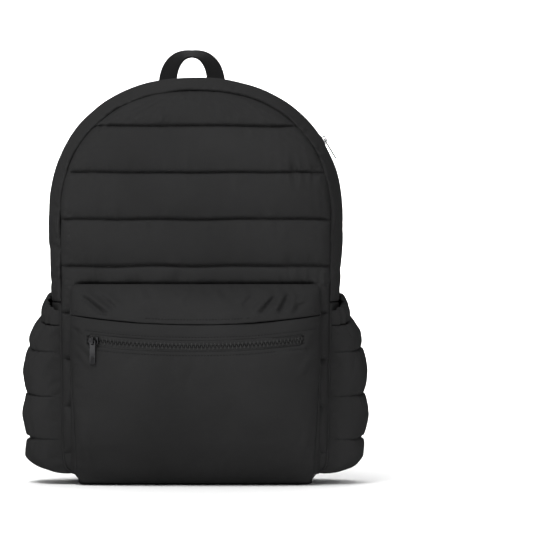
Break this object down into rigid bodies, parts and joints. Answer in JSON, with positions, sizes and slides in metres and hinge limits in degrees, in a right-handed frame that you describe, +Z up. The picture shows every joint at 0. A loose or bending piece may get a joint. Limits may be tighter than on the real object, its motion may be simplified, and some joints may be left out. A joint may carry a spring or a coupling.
{
  "type": "quilted puffer backpack",
  "caption": "Padded and quilted daypack with a zipped main compartment, a zipped front pocket, two elasticated side pockets, a grab handle and two padded shoulder straps.",
  "frame": {"origin": "centre of the base's underside", "axes": "+Z up, -Y out of the front panel, +X to the viewer's right when facing the front"},
  "size_m": [0.3782, 0.3688, 0.4822],
  "materials": {
    "nylon_fabric": "soft satin nylon, filled and quilted",
    "webbing": "ribbed webbing",
    "buckle_plastic": "moulded, half gloss",
    "zip_metal": "black plated"
  },
  "bodies": {
    "bag": {"front_panel": "nylon_fabric", "zip_band_front": "nylon_fabric", "zip_band_rear": "nylon_fabric", "side_wall_left": "nylon_fabric", "side_wall_right": "nylon_fabric", "back_panel": "nylon_fabric", "base_panel": "nylon_fabric", "front_pocket_panel": "nylon_fabric", "front_pocket_yoke": "nylon_fabric", "front_pocket_gusset": "nylon_fabric", "side_pocket_left": "nylon_fabric", "side_pocket_right": "nylon_fabric", "side_pocket_cuff_left": "nylon_fabric", "side_pocket_cuff_right": "nylon_fabric", "shoulder_pad_left": "nylon_fabric", "shoulder_pad_right": "nylon_fabric", "grab_handle": "webbing", "lock_loop_left": "webbing", "lock_loop_right": "webbing", "strap_webbing_left": "webbing", "strap_webbing_right": "webbing", "strap_anchor_left": "webbing", "strap_anchor_right": "webbing", "ladder_lock_left": "buckle_plastic", "ladder_lock_right": "buckle_plastic", "main_zip_chain": "zip_metal", "main_zip_slider": "zip_metal", "pocket_zip_chain": "zip_metal", "pocket_zip_slider": "zip_metal"},
    "main_zip_pull": {"main_zip_pull": "zip_metal"},
    "pocket_zip_pull": {"pocket_zip_pull": "zip_metal"}
  },
  "joints": [
    {"name": "main_zip_pull_hinge", "type": "hinge", "parent": "bag", "child": "main_zip_pull", "pos_m": [0.14275, -0.005, 0.37996], "axis": [0, -1, 0], "range_deg": [0, 150]},
    {"name": "pocket_zip_pull_hinge", "type": "hinge", "parent": "bag", "child": "pocket_zip_pull", "pos_m": [-0.11094, -0.14504, 0.15876], "axis": [-0.8848, 0.4659, 0], "range_deg": [0, 150]}
  ]
}
